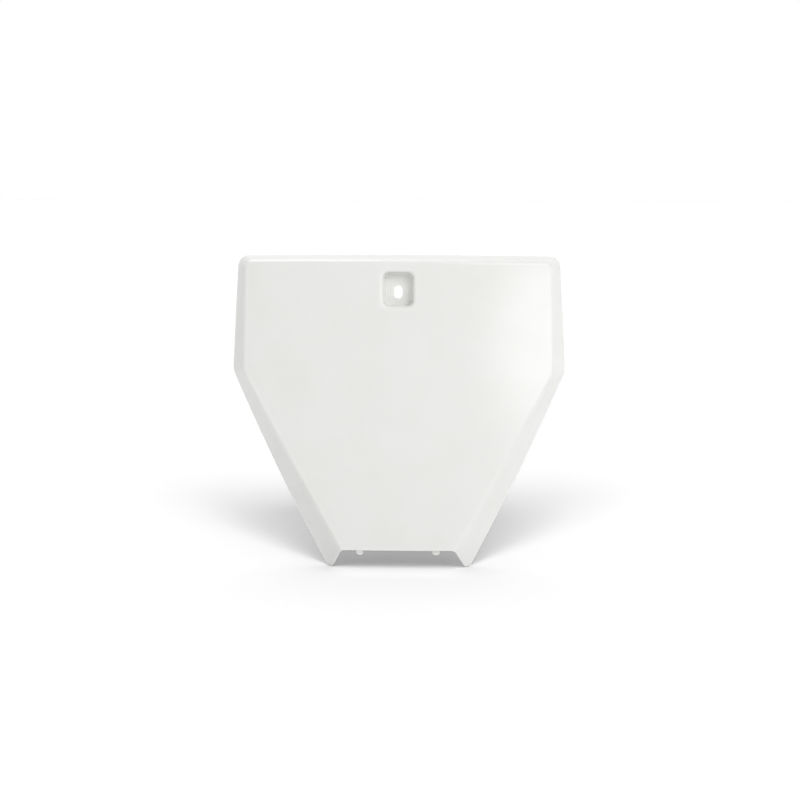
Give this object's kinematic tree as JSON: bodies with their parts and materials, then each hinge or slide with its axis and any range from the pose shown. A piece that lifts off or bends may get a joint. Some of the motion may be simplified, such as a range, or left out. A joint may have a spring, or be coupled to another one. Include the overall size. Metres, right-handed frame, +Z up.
{
  "type": "racing number board",
  "caption": "One-piece moulded front number board with a bowed face, folded-back edges, a recessed screw pocket and locating pegs.",
  "frame": {"origin": "middle of the screw slot, on the flat seat behind the screw pocket", "axes": "+X across the board to the viewer's right as seen from its face, +Y from the face to the back, +Z up"},
  "size_m": [0.2566, 0.0438, 0.2459],
  "materials": {
    "white_polypropylene": "injection-moulded white polypropylene, semi-gloss outside, as it leaves the tool"
  },
  "bodies": {
    "root": {"number_board": "white_polypropylene"}
  },
  "joints": []
}
